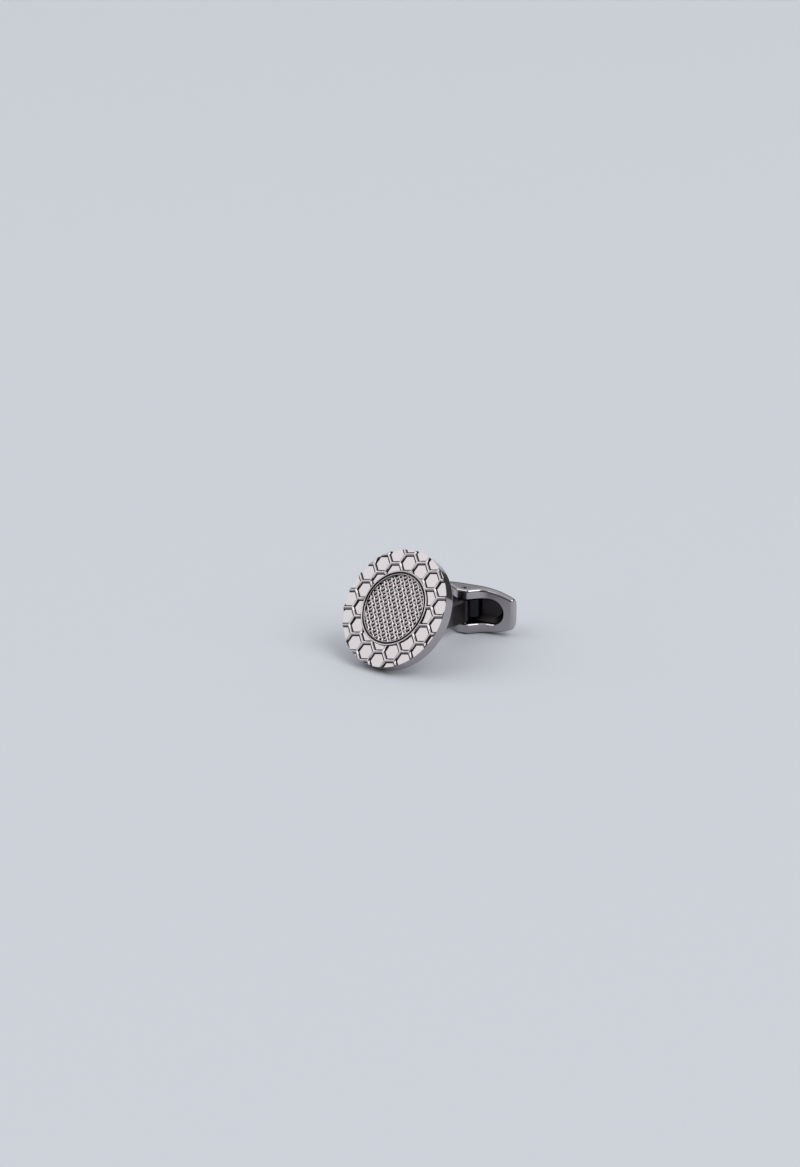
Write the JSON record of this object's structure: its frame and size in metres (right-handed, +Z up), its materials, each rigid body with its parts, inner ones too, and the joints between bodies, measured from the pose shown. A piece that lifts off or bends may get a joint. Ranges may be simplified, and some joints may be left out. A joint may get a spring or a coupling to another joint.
{
  "type": "swivel-back cufflink",
  "caption": "Round polished gunmetal cufflink with a raised honeycomb border, a woven-wire centre in a beaded bezel, and a bent stem with a swivelling boat-shaped toggle.",
  "frame": {"origin": "middle of the bounding box on the table the cufflink lies on", "axes": "+Z up from the table, +Y from the face towards the toggle, +X to the right when the face is looked at; the plane X = 0 halves the face and the stem"},
  "size_m": [0.018, 0.0256, 0.0159],
  "materials": {
    "gunmetal": "mirror-polished black nickel plating on brass",
    "woven_wire": "drawn wire, woven, then plated black nickel",
    "steel": "plain drawn steel"
  },
  "bodies": {
    "face": {"face_disc": "gunmetal", "mesh_inset": "woven_wire", "bezel_ring": "gunmetal", "stem": "gunmetal"},
    "toggle_bar": {"toggle": "gunmetal", "pivot_pin": "steel", "friction_spring": "steel"}
  },
  "joints": [
    {"name": "toggle_swivel", "type": "hinge", "parent": "face", "child": "toggle_bar", "pos_m": [0, 0.00807, 0.00363], "axis": [0, 0, 1], "range_deg": [-108, 72]}
  ]
}
